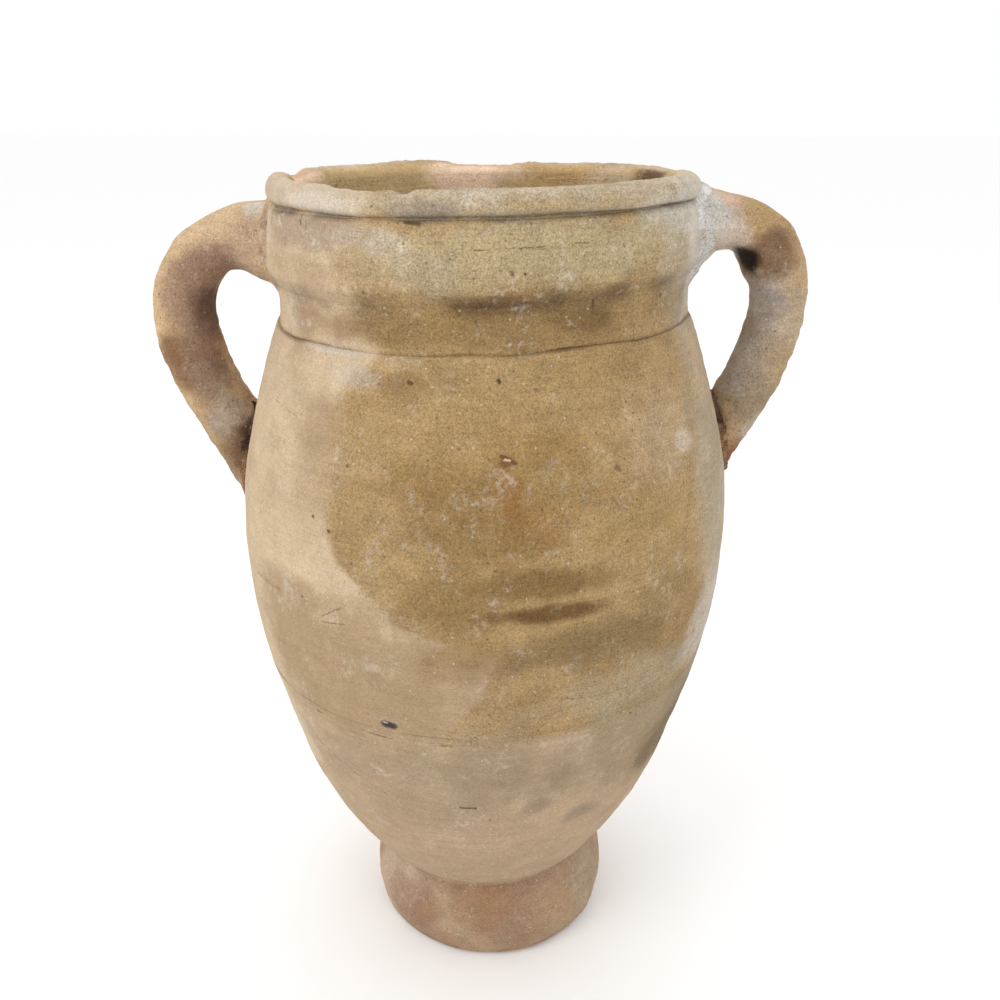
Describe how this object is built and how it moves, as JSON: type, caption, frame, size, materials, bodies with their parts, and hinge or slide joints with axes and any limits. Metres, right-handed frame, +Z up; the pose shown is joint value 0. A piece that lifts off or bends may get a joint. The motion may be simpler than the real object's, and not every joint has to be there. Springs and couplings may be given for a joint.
{
  "type": "amphora",
  "caption": "Tall unglazed terracotta jar on a pedestal foot, with a wide collared mouth and strap handles, for storage or display.",
  "frame": {"origin": "centre of the foot's resting ring, on the surface the jar stands on", "axes": "+Z up along the jar's axis; +X towards the right handle, -X towards the left one; -Y is the front"},
  "size_m": [0.345, 0.267, 0.45],
  "materials": {
    "foot_clay": "matt, coarse, hand turned",
    "body_clay": "matt, sandy, stained and limed",
    "rim_clay": "matt, sandy, worn at the edges",
    "handle_clay": "matt, pitted, hand pulled",
    "luting_clay": "matt, smeared by hand",
    "dark_clay": "matt, smoke-darkened",
    "lime_plaster": "matt, chalky"
  },
  "bodies": {
    "root": {"foot": "foot_clay", "foot_luting_band": "luting_clay", "body_lower": "body_clay", "body_upper": "body_clay", "neck_band": "rim_clay", "rim_collar": "rim_clay", "rim_lip": "rim_clay", "handle_left": "handle_clay", "handle_right": "handle_clay", "wad_left_top": "luting_clay", "wad_left_bottom": "dark_clay", "wad_right_top": "lime_plaster", "wad_right_bottom": "dark_clay"}
  },
  "joints": []
}
